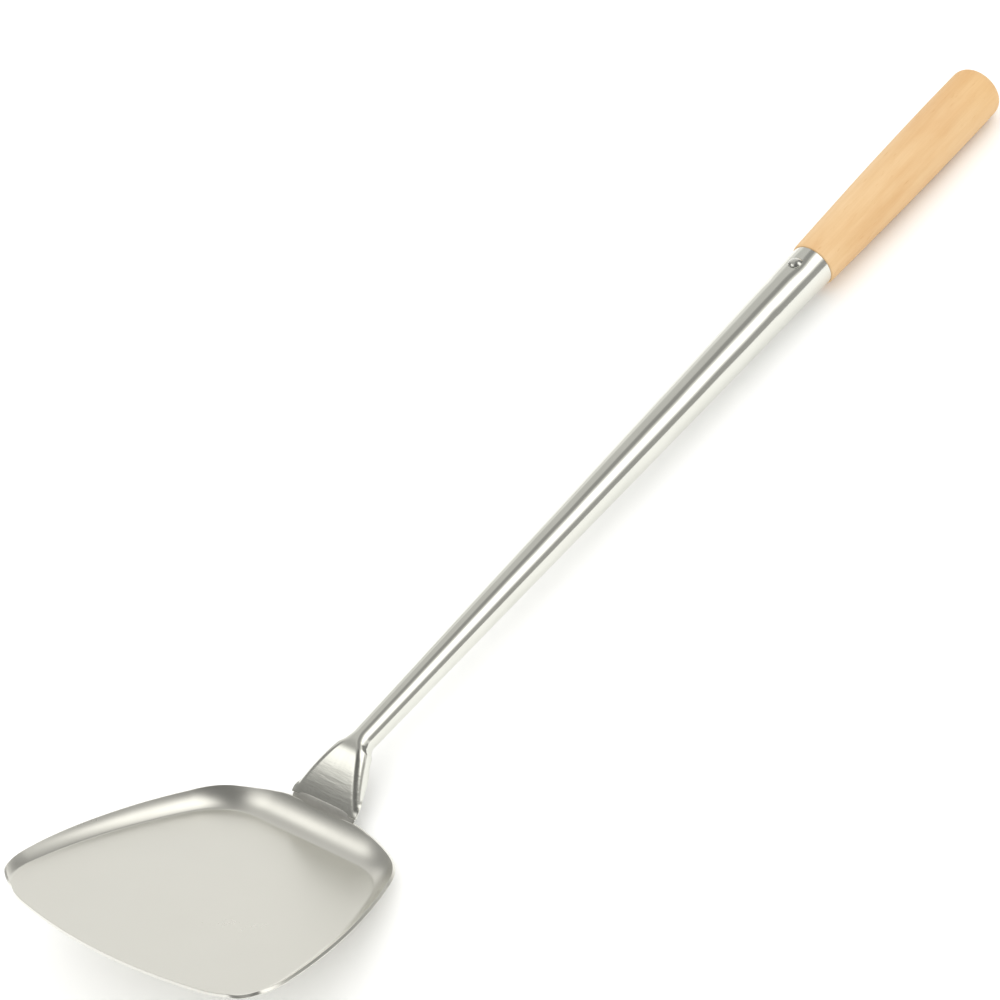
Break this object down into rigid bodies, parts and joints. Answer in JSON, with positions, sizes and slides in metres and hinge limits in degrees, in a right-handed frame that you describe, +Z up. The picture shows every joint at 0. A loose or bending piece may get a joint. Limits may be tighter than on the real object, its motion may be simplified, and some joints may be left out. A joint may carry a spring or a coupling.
{
  "type": "wok spatula",
  "caption": "Long spatula with a scoop-shaped pressed steel blade, a tapering hollow steel shank and a turned wood grip held by a nail.",
  "frame": {"origin": "middle of the tool's box, on the surface it rests on", "axes": "+X along the tool towards the grip's end, +Y across the blade, +Z up; the tool rests on its heel bend and the end of its grip, with the blade's hollow side up"},
  "size_m": [0.544, 0.13, 0.046],
  "materials": {
    "blade_steel": "satin",
    "shank_steel": "polished",
    "weld_steel": "ground",
    "grip_wood": "fine sanded, bare",
    "nail_steel": "polished"
  },
  "bodies": {
    "root": {"blade": "blade_steel", "shank": "shank_steel", "neck_weld": "weld_steel", "grip": "grip_wood", "nail": "nail_steel"}
  },
  "joints": []
}
